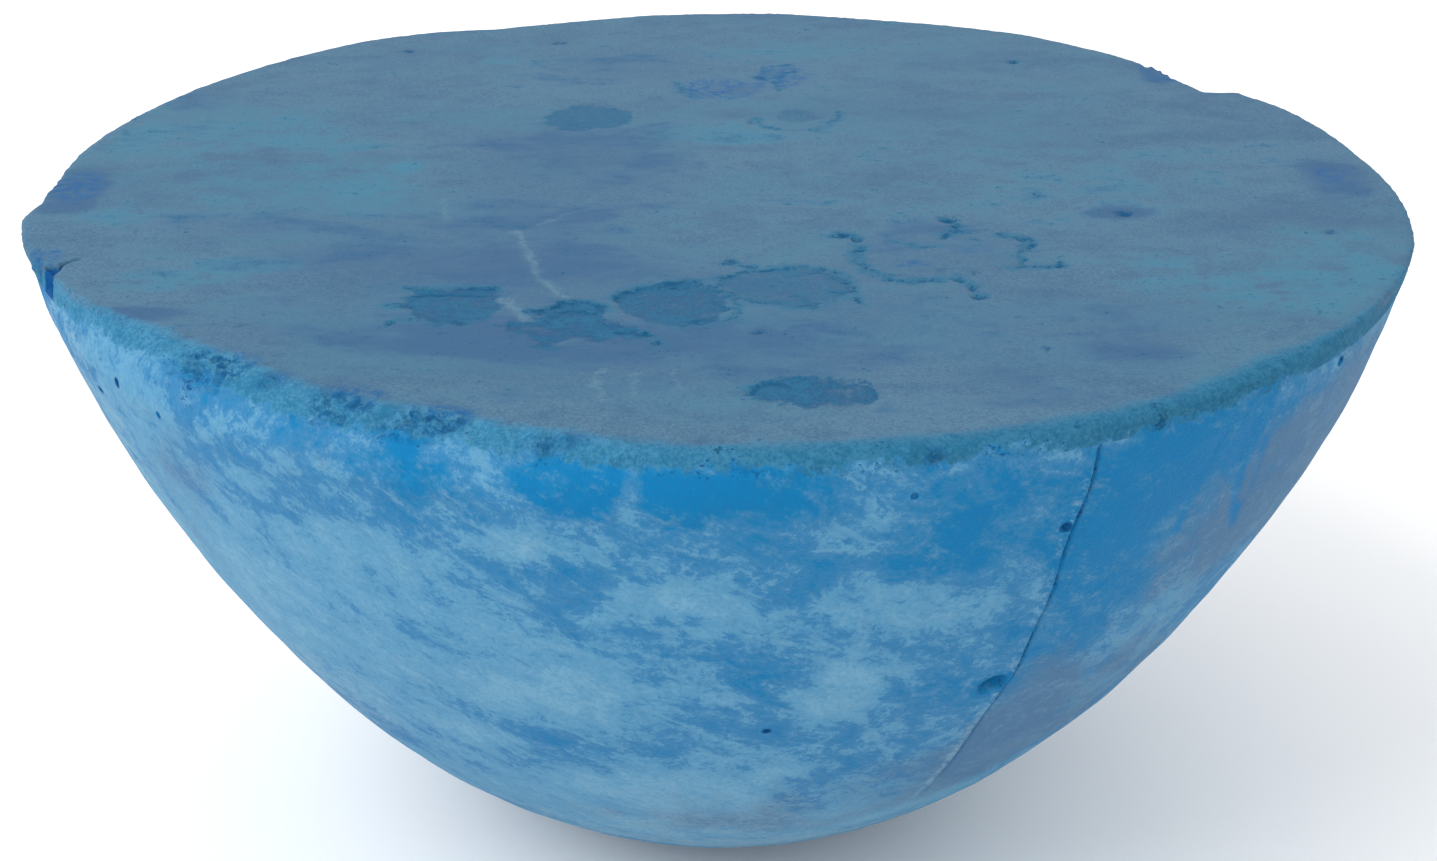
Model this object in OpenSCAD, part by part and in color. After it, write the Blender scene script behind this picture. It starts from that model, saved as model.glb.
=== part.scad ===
// Half-dome air stone for a pond or aquarium.
// A porous mineral casting holds an air chamber. A bonded lid and a trowelled seal close the
// chamber on the flat side, and air comes in through a hose nipple bonded into the back wall.
// +Z is up, and the origin is the middle of the small flat that the dome stands on.

/* [Stone] */
// Diameter across the flat face
rim_d = 100; // [90:1:110]
// Height from the foot flat to the flat face
stone_h = 49.5; // [47:0.5:52]
// Diameter of the foot flat
foot_d = 13; // [8:1:16]

/* [Dome outline] */
// Radius of the heel arc above the foot, as a share of the rim diameter
heel_share = 0.38; // [0.36:0.01:0.4]
// Slope in degrees where the heel arc turns into the flank arc
heel_slope = 34.5; // [32:0.5:37]
// Radius of the flank arc, as a share of the rim diameter
flank_share = 0.545; // [0.52:0.005:0.57]
// Slope in degrees where the flank arc turns into the wall arc
flank_slope = 52; // [50:0.5:54]
// Number of steps along each arc
arc_steps = 8; // [6:1:16]

/* [Air chamber] */
// Size of the chamber, as a share of the outside of the stone
chamber_share = 0.7; // [0.64:0.01:0.72]
// Thickness of the lid
lid_t = 2; // [1.5:0.5:3]
// Width of the ledge that the lid rests on
ledge_w = 2; // [1:0.5:3]
// Width of the bond bead round the lid
lid_bond_w = 1; // [0.5:0.5:2]

/* [Face seal] */
// Thickness of the seal trowelled over the flat side
seal_t = 1.6; // [1.2:0.1:2.4]
// Chamfer round the seal's top edge
seal_chamfer = 0.4; // [0.2:0.1:0.8]

/* [Inlet] */
// Height of the inlet's axis above the foot
inlet_z = 37; // [35:0.5:38]
// Diameter of the air bore through the nipple
air_bore_d = 2.5; // [2:0.1:3]
// Diameter over the barbs, for hose of about 5 mm inside diameter
barb_d = 5.2; // [4.8:0.1:5.6]
// Number of barbs
barb_count = 3; // [2:1:4]
// Diameter of the nipple's flange
flange_d = 11; // [9:0.5:12]
// Thickness of the nipple's flange
flange_t = 2; // [1.5:0.5:3]
// Diameter of the shank inside the stone
shank_d = 6; // [5.5:0.1:7]
// Thickness of the bond round the shank
shank_bond_t = 0.6; // [0.4:0.1:1]
// Thickness of the bond bed under the flange
bed_t = 0.4; // [0.3:0.1:0.6]

/* [Hidden] */
$fn = 96;

rim_r = rim_d / 2;
foot_r = foot_d / 2;
heel_r = heel_share * rim_d;
flank_r = flank_share * rim_d;

// Heights of the layers on the flat side
seal_z = stone_h - seal_t;
lid_z = seal_z - lid_t;
chamber_r = chamber_share * rim_r;
lid_r = chamber_r + ledge_w;
rebate_r = lid_r + lid_bond_w;

// Inlet sizes along its axis, measured outwards from the seat cut into the stone
seat_d = flange_d + 2;
bed_d = flange_d + 1;
shank_in = 12;
shank_bond_in = 8;
barb_start = 5.2;
barb_pitch = 3.4;
barb_land = 0.8;
barb_taper = 2;
stem_d = barb_d - 1;
tip_d = barb_d - 1.2;

// Points of an arc from p, as its slope turns from a0 to a1 degrees. The point p is left out.
function arc(p, r, a0, a1) = [
    for (i = [1:arc_steps])
        let (a = a0 + (a1 - a0) * i / arc_steps)
            p + r * [sin(a) - sin(a0), cos(a0) - cos(a)]
];

// Points of an arc that leaves p at slope a0 and ends at q
function arc_to(p, q, a0) =
    let (a1 = 2 * atan2(q[1] - p[1], q[0] - p[0]) - a0)
        arc(p, norm(q - p) / (2 * sin((a1 - a0) / 2)), a0, a1);

function last(points) = points[len(points) - 1];

// Outside of the stone from the foot to the rim: the heel, flank and wall arcs run into each other
heel = arc([foot_r, 0], heel_r, asin(foot_r / heel_r), heel_slope);
flank = arc(last(heel), flank_r, heel_slope, flank_slope);
wall = arc_to(last(flank), [rim_r, stone_h], flank_slope);
outline = concat([[foot_r, 0]], heel, flank, wall);

// Radius of the outside at a height
function outside_r(z) = lookup(z, [for (p = outline) [p[1], p[0]]]);

// The seat is cut just deep enough that the whole of it is flat
seat_y = outside_r(inlet_z - seat_d / 2) - 0.2;

module half_section() {
    polygon(concat([[0, 0]], outline, [[0, stone_h]]));
}

// Half section of the air chamber: the outside at a smaller scale, hung from the lid
module chamber_section() {
    translate([0, lid_z])
        scale(chamber_share)
            translate([0, -stone_h])
                half_section();
}

// Puts a shape drawn along +Z on the inlet's axis, with its zero at the seat
module on_inlet() {
    translate([0, seat_y, inlet_z])
        rotate([-90, 0, 0])
            children();
}

// Ring along +Z from z0 to z1, between two diameters
module ring(inner_d, outer_d, z0, z1) {
    rotate_extrude()
        translate([inner_d / 2, z0])
            square([(outer_d - inner_d) / 2, z1 - z0]);
}

module stone_dome() {
    color("steelblue")
        difference() {
            rotate_extrude()
                difference() {
                    half_section();
                    chamber_section();
                    translate([0, lid_z])
                        square([rebate_r, lid_t + seal_t]);
                    translate([0, seal_z])
                        square([rim_d, 2 * seal_t]);
                }
            on_inlet()
                cylinder(h = rim_r, d = seat_d);
            on_inlet()
                translate([0, 0, -rim_r / 2])
                    cylinder(h = rim_r, d = shank_d + 2 * shank_bond_t);
        }
}

module face_seal() {
    color("lightslategray")
        rotate_extrude()
            difference() {
                half_section();
                square([rim_d, seal_z]);
                translate([rim_r, stone_h])
                    rotate(45)
                        square(seal_chamfer * sqrt(2), center = true);
            }
}

module chamber_lid() {
    color("whitesmoke")
        translate([0, 0, lid_z])
            cylinder(h = lid_t, r = lid_r);
}

module lid_bond() {
    color("khaki")
        ring(2 * lid_r, 2 * rebate_r, lid_z, seal_z);
}

// One barb along +Z, thick at its lower end so that a hose slides on from above
module barb_section() {
    polygon([
        [air_bore_d / 2, 0],
        [barb_d / 2, 0],
        [barb_d / 2, barb_land],
        [tip_d / 2, barb_land + barb_taper],
        [air_bore_d / 2, barb_land + barb_taper]
    ]);
}

module inlet_nipple() {
    tip = barb_start + (barb_count - 1) * barb_pitch + barb_land + barb_taper;
    color("dimgray")
        on_inlet()
            rotate_extrude() {
                translate([air_bore_d / 2, -shank_in])
                    square([(shank_d - air_bore_d) / 2, shank_in + bed_t]);
                translate([air_bore_d / 2, bed_t])
                    square([(flange_d - air_bore_d) / 2, flange_t]);
                translate([air_bore_d / 2, bed_t])
                    square([(stem_d - air_bore_d) / 2, tip - bed_t - barb_taper]);
                for (i = [0:barb_count - 1])
                    translate([0, barb_start + i * barb_pitch])
                        barb_section();
            }
}

module nipple_bond() {
    color("khaki")
        on_inlet() {
            ring(shank_d, shank_d + 2 * shank_bond_t, -shank_bond_in, 0);
            ring(shank_d, bed_d, 0, bed_t);
        }
}

stone_dome();
face_seal();
chamber_lid();
lid_bond();
inlet_nipple();
nipple_bond();
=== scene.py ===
"""Looks of a half-dome air stone: a cloudy blue casting under a trowelled grey-blue face.

Lengths are in millimetres until a mesh is finished. A place on the dome is an azimuth in degrees,
0 at the front and 90 on the right, with a height above the foot. A place on the face is x and y.
"""
import math
import random

import bmesh
import bpy
import numpy as np
from mathutils import Matrix, Vector, noise


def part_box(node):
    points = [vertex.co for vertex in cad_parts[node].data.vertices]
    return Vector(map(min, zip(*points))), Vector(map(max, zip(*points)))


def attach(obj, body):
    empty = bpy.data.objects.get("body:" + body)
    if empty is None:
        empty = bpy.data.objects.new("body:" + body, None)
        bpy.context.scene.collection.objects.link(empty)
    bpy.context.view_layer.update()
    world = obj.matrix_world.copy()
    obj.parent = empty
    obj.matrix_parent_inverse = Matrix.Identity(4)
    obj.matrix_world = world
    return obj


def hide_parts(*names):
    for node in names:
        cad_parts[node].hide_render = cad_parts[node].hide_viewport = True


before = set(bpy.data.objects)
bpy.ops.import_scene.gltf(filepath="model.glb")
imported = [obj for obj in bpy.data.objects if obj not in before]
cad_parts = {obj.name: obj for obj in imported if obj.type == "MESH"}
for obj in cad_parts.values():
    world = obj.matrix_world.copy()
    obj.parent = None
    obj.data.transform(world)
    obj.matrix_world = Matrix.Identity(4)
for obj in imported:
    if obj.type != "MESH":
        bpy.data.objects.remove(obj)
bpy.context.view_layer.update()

MM = 0.001


def node_box(node):
    """Lowest and highest corner of a CAD node, in mm."""
    return [np.array(corner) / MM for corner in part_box(node)]


seal_low, seal_high = node_box("face_seal")
nipple_low, nipple_high = node_box("inlet_nipple")

# Heights of the face, of the joint between seal and casting, and of the lid's underside
FACE_Z = seal_high[2]
JOINT_Z = seal_low[2]
LID_Z = node_box("chamber_lid")[0][2]
# Radius of the rebate that holds the lid and its bond
REBATE_R = node_box("lid_bond")[1][0]
# Size of the air chamber, as a share of the outside
CHAMBER_SHARE = 0.7
# Thickness of the resin bed under the nipple's flange
BED_T = 0.4
# The nipple's seat is square to Y here, and its middle is at this height
SEAT_Y = node_box("nipple_bond")[1][1] - BED_T
INLET_Z = (nipple_low[2] + nipple_high[2]) / 2

# Outline of the dome: a flat foot, then three arcs that run into each other up to the face
RIM_R = 50.0
FOOT_R = 6.5
HEEL_R = 38.0
HEEL_SLOPE = math.radians(34.5)
FLANK_R = 54.5
FLANK_SLOPE = math.radians(52)

# Azimuths of the mould's parting line, front and back
SEAMS = (26.3, 206.3)


# ---------------------------------------------------------------- outline and measuring

def arc(start, radius, slope_from, slope_to, steps=40):
    """Radius, height and slope of the points of an arc, from a start that is left out."""
    slopes = np.linspace(slope_from, slope_to, steps + 1)[1:]
    r = start[0] + radius * (np.sin(slopes) - math.sin(slope_from))
    z = start[1] + radius * (math.cos(slope_from) - np.cos(slopes))
    return np.stack([r, z, slopes], axis=1)


def dome_outline():
    """Radius, height and slope from the middle of the foot up to the face."""
    foot = np.array([[0, 0, 0], [FOOT_R, 0, 0]])
    heel = arc(foot[-1], HEEL_R, math.asin(FOOT_R / HEEL_R), HEEL_SLOPE)
    flank = arc(heel[-1], FLANK_R, HEEL_SLOPE, FLANK_SLOPE)
    rise = FACE_Z - flank[-1, 1]
    run = RIM_R - flank[-1, 0]
    end_slope = 2 * math.atan2(rise, run) - FLANK_SLOPE
    wall_r = math.hypot(rise, run) / (2 * math.sin((end_slope - FLANK_SLOPE) / 2))
    wall = arc(flank[-1], wall_r, FLANK_SLOPE, end_slope)
    return np.concatenate([foot, heel, flank, wall])


OUTLINE = dome_outline()
OUTLINE_LENGTH = np.append(0, np.cumsum(np.hypot(*np.diff(OUTLINE[:, :2], axis=0).T)))


def dome_radius(z):
    return np.interp(z, OUTLINE[1:, 1], OUTLINE[1:, 0])


def dome_length(z):
    """Length of the outline from the middle of the foot up to a height."""
    return np.interp(z, OUTLINE[1:, 1], OUTLINE_LENGTH[1:])


def dome_point(azimuth, z):
    a = math.radians(azimuth)
    r = dome_radius(z)
    return np.array([r * math.sin(a), -r * math.cos(a), z])


def around(azimuth, r, z):
    """Points at azimuths in degrees, distances from the axis and heights."""
    a = np.radians(azimuth)
    return np.stack([r * np.sin(a), -r * np.cos(a), z], axis=1)


def polar(x, y):
    """Azimuth in degrees and distance from the axis."""
    return np.degrees(np.arctan2(x, -y)), np.hypot(x, y)


def turn_between(azimuth, other):
    """Degrees from one azimuth to another, from -180 to 180."""
    return (azimuth - other + 180) % 360 - 180


def by_azimuth(table, azimuth):
    """Value at an azimuth of a table of (azimuth, value), which runs on round the circle."""
    places, values = zip(*table)
    return np.interp(azimuth, places, values, period=360)


def smooth(value, low, high):
    """0 below low and 1 above high, with a smooth step between."""
    t = np.clip((value - low) / (high - low), 0, 1)
    return t * t * (3 - 2 * t)


def bump(distance, width):
    """1 on a place, falling smoothly to nothing within about twice the width."""
    return np.exp(-(distance / width) ** 2)


def patch(distance):
    """1 over most of a patch, falling to nothing round its edge at a distance of 1."""
    return np.exp(-distance ** 4)


def near(distance, reach):
    """1 on a line, falling evenly to 0 at its reach."""
    return np.clip(1 - distance / reach, 0, 1)


def grain(points, size, octaves=4, seed=0):
    """Fractal noise from about -1 to 1 with features of about the given size."""
    shift = Vector((31.7, 17.3, 5.9)) * seed
    return np.array([noise.fractal(Vector(p) / size + shift, 1.0, 2.0, octaves) for p in points])


def curve(points, closed=False, steps=5):
    """Smooth curve through a few points."""
    p = np.asarray(points, float)
    ring = np.concatenate([p[-1:], p, p[:2]]) if closed else np.concatenate([p[:1], p, p[-1:]])
    t = (np.arange(steps) / steps)[:, None]
    made = []
    for a, b, c, d in zip(ring, ring[1:], ring[2:], ring[3:]):
        made.append(((2 * b) + (c - a) * t + (2 * a - 5 * b + 4 * c - d) * t**2
                     + (3 * b - a - 3 * c + d) * t**3) / 2)
    return np.concatenate(made + [p[:1] if closed else p[-1:]])


def distance_to(points, path):
    """Distance from each point to the nearest part of a path."""
    best = np.full(len(points), 1e9)
    for a, b in zip(path[:-1], path[1:]):
        along = b - a
        t = np.clip((points - a) @ along / max(along @ along, 1e-9), 0, 1)
        best = np.minimum(best, np.linalg.norm(points - a - t[:, None] * along, axis=1))
    return best


def depth_inside(points, outline):
    """How far each point of the face is inside a closed outline. It is negative outside."""
    x, y = points[:, 0], points[:, 1]
    inside = np.zeros(len(points), bool)
    for (x0, y0), (x1, y1) in zip(outline[:-1], outline[1:]):
        crosses = (y0 > y) != (y1 > y)
        with np.errstate(divide="ignore", invalid="ignore"):
            at = x0 + (y - y0) / (y1 - y0) * (x1 - x0)
        inside ^= crosses & (x < at)
    return np.where(inside, 1, -1) * distance_to(points, outline)


# ---------------------------------------------------------------- the rim

# How far the rim stands out of true: a nose on the left, a ragged back and a chip at the back right
RIM_SWELL = [
    (-85, -0.6), (-81, 0.3), (-74, 0.0), (0, 0.0), (60, -0.2), (75, -0.4), (98, -1.0), (114, -0.6),
    (119.5, -1.2), (121.5, -3.5), (126, -2.8), (130, -1.5), (140, -0.5), (148, 0.3), (165, -0.3),
    (174, 0.3), (188, -0.3), (196, -1.2), (205, -1.3), (210, 0.2), (217, 1.1), (228, 0.7), (245, 0.0),
    (261, -0.4), (268, -0.8),
]
# The worn edge between the grey face and the wall: its width on the face and its drop
EDGE_WIDTH = [(-75, 0.7), (-62, 1.6), (-50, 3.9), (-40, 4.6), (-33, 4.0), (-20, 4.3), (-10, 3.2),
              (-3, 2.4), (12, 2.3), (30, 1.7), (44, 2.1), (54, 0.9), (70, 0.6), (180, 0.6)]
EDGE_DROP = [(-75, 0.5), (-58, 1.6), (-10, 1.6), (0, 1.2), (20, 0.9), (45, 0.9), (60, 0.5), (180, 0.4)]
# How far the wear has taken the wall back at the joint, fading out within a few mm below it
WALL_WEAR = [(-75, 0.0), (-52, 1.3), (-15, 1.3), (0, 0.5), (20, 0.2), (60, 0.2), (75, 0.0), (180, 0.0)]
WEAR_REACH = 2.6
# How far the grey of the face runs on over the worn edge
GREY_LAP = [(-75, 0.9), (-60, 0.2), (-50, 0.0), (55, 0.0), (72, 0.7), (180, 1.3)]
# Width of the turquoise band on the worn edge, measured outwards and down
BAND_WIDTH = [(-80, 0.9), (-60, 1.5), (-48, 2.3), (-35, 2.8), (-22, 2.8), (-10, 2.3), (0, 2.1), (15, 2.3),
              (45, 2.4), (60, 1.8), (80, 1.2), (180, 0.9)]
# How blue the band is, instead of turquoise
BAND_BLUE = [(-75, 0.0), (-60, 1.0), (-14, 1.0), (4, 0.2), (20, 0.0), (180, 0.0)]


def rim_swell(azimuth):
    return by_azimuth(RIM_SWELL, azimuth)


def wall_shift(azimuth, z):
    """How far the wall is out of the true outline, from the rim's swell and the wear under the rim."""
    worn = np.clip((z - JOINT_Z + WEAR_REACH) / WEAR_REACH, 0, 1) ** 2
    return rim_swell(azimuth) * smooth(z, 38, JOINT_Z) - by_azimuth(WALL_WEAR, azimuth) * worn


def grey_radius(azimuth):
    """Distance from the axis at which the face turns down into the worn edge."""
    return RIM_R + rim_swell(azimuth) - by_azimuth(EDGE_WIDTH, azimuth)


# ---------------------------------------------------------------- refined disc

def bend(u, v):
    """Place on the unit disc of a place on the square from -1 to 1."""
    return u * np.sqrt(1 - v * v / 2), v * np.sqrt(1 - u * u / 2)


def refined_disc(cells, radius, wanted, levels):
    """Mesh of a disc whose cells are halved while they are larger than wanted(x, y), and its places."""
    mesh = bmesh.new()
    bmesh.ops.create_grid(mesh, x_segments=cells, y_segments=cells, size=1)
    for level in range(levels):
        cell = 2 * radius / cells / 2**level
        faces = list(mesh.faces)
        middles = np.array([f.calc_center_median()[:2] for f in faces])
        x, y = bend(*middles.T)
        too_big = wanted(x * radius, y * radius) < cell
        edges = {e for face, big in zip(faces, too_big) if big for e in face.edges}
        bmesh.ops.subdivide_edges(mesh, edges=list(edges), cuts=1, use_grid_fill=True)
    x, y = bend(*np.array([v.co[:2] for v in mesh.verts]).T)
    return mesh, x * radius, y * radius


def place(mesh, points):
    for vertex, point in zip(mesh.verts, points):
        vertex.co = point


# Radius of the first ring of a flat top or underside, inside the worn edge
INNER_RING_R = 44.0


def close_with_rings(mesh, rings):
    """Carries the mesh's open edge on through rings of (radius, height) and closes the last one."""
    edges = [e for e in mesh.edges if e.is_boundary]
    for radius, z in rings:
        made = bmesh.ops.extrude_edge_only(mesh, edges=edges)["geom"]
        edges = [g for g in made if isinstance(g, bmesh.types.BMEdge) and g.is_boundary]
        for vertex in {v for e in edges for v in e.verts}:
            angle = math.atan2(vertex.co.y, vertex.co.x)
            vertex.co = (radius * math.cos(angle), radius * math.sin(angle), z)
    middle = (0, 0, rings[-1][1])
    bmesh.ops.pointmerge(mesh, verts=list({v for e in edges for v in e.verts}), merge_co=middle)


def finished_object(name, mesh, sharp=50):
    """Blender object of a mesh in mm, smooth but for edges sharper than so many degrees."""
    bmesh.ops.recalc_face_normals(mesh, faces=mesh.faces)
    mesh.transform(Matrix.Scale(MM, 4))
    data = bpy.data.meshes.new(name)
    mesh.to_mesh(data)
    mesh.free()
    data.shade_smooth()
    data.set_sharp_from_angle(angle=math.radians(sharp))
    made = bpy.data.objects.new(name, data)
    bpy.context.scene.collection.objects.link(made)
    return made


def points_of(piece):
    """The piece's vertices in mm."""
    found = np.zeros(len(piece.data.vertices) * 3, np.float32)
    piece.data.vertices.foreach_get("co", found)
    return found.reshape(-1, 3).astype(float) / MM


def paint(piece, layer, channels):
    """Stores four values at each vertex, for the materials to read."""
    attribute = piece.data.attributes.new(layer, "FLOAT_COLOR", "POINT")
    attribute.data.foreach_set("color", np.stack(channels, axis=1).astype(np.float32).ravel())


# ---------------------------------------------------------------- what is on the dome

# Clouds on the front of the dome: azimuth, height, half width and half height, and how much paler
DOME_CLOUDS = [
    (-9, 46.6, 6.4, 1.8, -0.46), (3, 46.8, 5.0, 1.6, -0.38), (-22.5, 46.4, 2.6, 1.1, -0.16),
    (-31, 44.2, 7.5, 1.7, -0.08), (16, 43.5, 5.0, 4.2, -0.20), (-10, 40.5, 2.6, 3.4, -0.14),
    (3, 41.5, 5.5, 3.4, -0.16), (4, 33.0, 2.4, 2.6, -0.14), (-4, 34.0, 2.8, 2.8, -0.04),
    (21, 33.0, 4.0, 7.0, -0.16), (36, 42.0, 10.0, 8.0, -0.36), (31, 29.0, 4.0, 10.0, -0.28),
    (-46, 40.0, 2.0, 4.0, -0.10), (-39, 36.5, 2.0, 1.4, -0.08), (-15, 23.5, 5.0, 1.6, -0.16),
    (-14, 43.2, 3.6, 1.5, 0.40), (-3, 38.8, 3.4, 1.6, 0.38), (-37, 43.0, 1.3, 1.0, 0.30),
    (-46, 46.2, 6.0, 2.0, 0.18), (-28, 47.8, 6.0, 1.2, -0.12), (-29, 39.5, 5.5, 1.8, 0.22),
    (-30, 31.5, 12.0, 4.6, 0.20), (-42, 24.0, 8.0, 4.0, 0.20), (-20, 19.0, 6.0, 2.0, 0.14),
    (-15, 28.5, 3.8, 2.6, 0.36), (10, 29.8, 2.7, 2.7, 0.55), (9, 40.5, 0.8, 2.3, 0.22),
    (17.5, 37.5, 4.8, 2.2, 0.28), (6, 21.0, 2.2, 1.6, 0.42), (-1, 16.5, 3.2, 2.0, 0.36),
    (-25, 22.0, 2.4, 1.6, 0.30), (-52, 36.0, 8.0, 8.0, 0.28), (40, 27.0, 5.0, 6.0, 0.18),
    (-10.5, 47.0, 2.8, 1.2, -0.34), (-6.2, 46.4, 0.9, 1.7, 0.50), (32, 44.5, 3.6, 3.4, -0.25),
    (-3, 18.6, 6.0, 2.2, 0.40), (-20, 44.0, 2.6, 1.9, -0.22), (-22, 48.2, 2.0, 1.0, 0.16),
    (-15.5, 46.6, 1.6, 1.2, 0.26), (-1, 48.4, 3.2, 0.9, -0.30), (8.5, 45.6, 2.6, 2.2, 0.22),
    (15, 42.5, 2.3, 2.6, -0.22), (0, 36.6, 6.0, 1.6, 0.14), (-10, 29.0, 2.6, 5.5, 0.22),
    (5, 30.0, 1.8, 2.0, -0.26), (-33, 37.5, 4.0, 3.2, 0.22), (35, 36.0, 3.0, 3.6, 0.28),
    (25, 34.0, 2.6, 2.6, 0.20), (-13, 15.0, 9.0, 3.0, 0.25), (6, 13.0, 10.0, 2.5, 0.30),
]
# Purple-grey bloom, which on the right side is mostly painted shade for the weaker light there: azimuth,
# height, half width and half height, and its strength
DOME_BLOOMS_AND_SHADE = [
    (-52, 36, 4, 6, 0.5), (-46, 42, 3, 4, 0.5), (-20, 13, 14, 4, 0.35),
    (14, 16, 12, 6, 0.55), (44, 38, 6, 7, 0.75), (40, 22, 9, 7, 0.8), (58, 40, 8, 9, 0.9),
    (31, 24, 3, 9, 0.5), (-31, 47, 3, 1.5, 0.5), (0, 7, 20, 3, 0.4),
]
# Chalky pale places on the dome, given in the same way. The low ones near the foot are painted light from
# the white floor
DOME_CHALK_AND_FLOOR_LIGHT = [
    (-64, 37, 7, 12, 0.55), (-50, 21, 8, 6, 0.50), (-16, 10, 16, 4, 0.45), (20, 8, 14, 3, 0.40),
    (-25, 26, 10, 5, 0.16), (10, 29.8, 3, 3, 0.20), (-2, 15.5, 8, 4, 0.35),
]
# Bubble pits on the front: azimuth, height, radius and depth
DOME_PITS = [
    (24.9, 28.1, 1.20, 1.00), (25.5, 42.0, 0.35, 0.30), (-52.0, 46.0, 0.32, 0.30),
    (-59.5, 47.0, 0.28, 0.25), (-76.0, 42.5, 0.36, 0.30), (-79.0, 37.5, 0.28, 0.25),
    (-74.0, 36.0, 0.26, 0.22), (4.0, 26.2, 0.28, 0.25), (-57.0, 44.0, 0.26, 0.22),
    (-55.0, 46.6, 0.24, 0.22), (13.0, 46.2, 0.22, 0.20), (-46.5, 45.2, 0.22, 0.20),
    (53.0, 47.3, 0.35, 0.30),
]
# Deep blue runs under the rim: half width, how strong, and azimuths and heights along each
DOME_RUNS = [
    (0.9, 0.9, [(42.4, 48.3), (42.0, 46.0), (41.8, 43.5)]),
    (0.4, 0.8, [(42.0, 43.5), (43.4, 41.0), (45.2, 38.6), (47.0, 36.5)]),
    (0.35, 0.5, [(38.5, 46.0), (37.5, 43.0), (37.8, 39.0)]),
    (0.3, 0.5, [(44.5, 44.0), (46.0, 41.0), (46.5, 38.0)]),
]


def scattered_clouds(count, seed):
    """More clouds of the same kinds, for the sides and back that no cloud above reaches."""
    pick = random.Random(seed)
    made = []
    for _ in range(count):
        z = pick.uniform(6, 48)
        made.append((pick.uniform(62, 298), z, pick.uniform(2, 9), pick.uniform(1.2, 5),
                     pick.choice((-1, 1)) * pick.uniform(0.18, 0.45)))
    return made


def scattered_pits(count, seed):
    """Small bubble pits for the sides and back."""
    pick = random.Random(seed)
    made = []
    for _ in range(count):
        radius = pick.uniform(0.2, 0.45)
        made.append((pick.uniform(60, 290), pick.uniform(8, 47), radius, radius * 0.8))
    return made


ALL_CLOUDS = DOME_CLOUDS + scattered_clouds(70, seed=4)
ALL_PITS = DOME_PITS + scattered_pits(26, seed=9)


def pits_near(points):
    """For each bubble pit, how far every point is from its middle, and its radius and depth."""
    for azimuth, height, radius, depth in ALL_PITS:
        yield np.linalg.norm(points - dome_point(azimuth, height), axis=1), radius, depth


def cloud_sum(azimuth, z, clouds):
    """Sum of soft patches on the dome."""
    r = dome_radius(z)
    s = dome_length(z)
    total = np.zeros_like(z)
    for at, height, wide, tall, strength in clouds:
        across = np.radians(turn_between(azimuth, at)) * r
        total += strength * patch(0.8 * np.hypot(across / wide, (s - dome_length(height)) / tall))
    return total


def seam_offset(azimuth, z, seam):
    """Distance in mm to the right of a parting line, which wanders a little on its way down."""
    wander = 0.16 * np.sin(z / 3.1 + seam) + 0.10 * np.sin(z / 1.3 + 2)
    return np.radians(turn_between(azimuth, seam)) * dome_radius(z) + wander


def seam_step(azimuth, z, points):
    """Height of the parting line's flash, with its groove and step to the right of it."""
    uneven = smooth(z, 0, 30) * (1 + 0.7 * grain(points, 2.0, 3, seed=3))
    total = np.zeros_like(z)
    for seam in SEAMS:
        across = seam_offset(azimuth, z, seam)
        total += 0.11 * uneven * bump(across + 0.16, 0.17)
        total -= 0.20 * uneven * bump(across - 0.18, 0.15)
        total -= 0.07 * smooth(across, -0.2, 0.4) * near(across, 5)
    return total * smooth(z, 1, 6)


def wall_path(places):
    return curve([dome_point(azimuth, z) for azimuth, z in places])


def dome_relief(points, azimuth, z):
    """Height of the relief on the dome, outwards."""
    relief = 0.14 * grain(points, 14, 3, seed=1) + 0.05 * grain(points, 3.0, 3, seed=2)
    crumbs = smooth(azimuth, -85, -60) * smooth(-azimuth, -2, 20) * smooth(z, 42, 47)
    relief += 0.16 * crumbs * np.minimum(grain(points, 1.6, 4, seed=5), 0.2)
    relief += seam_step(azimuth, z, points)
    for away, radius, depth in pits_near(points):
        relief -= depth * smooth(-away, -radius, -0.35 * radius)
    for wide, strength, places in DOME_RUNS:
        relief -= 0.12 * strength * bump(distance_to(points, wall_path(places)), wide)
    return relief


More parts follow.
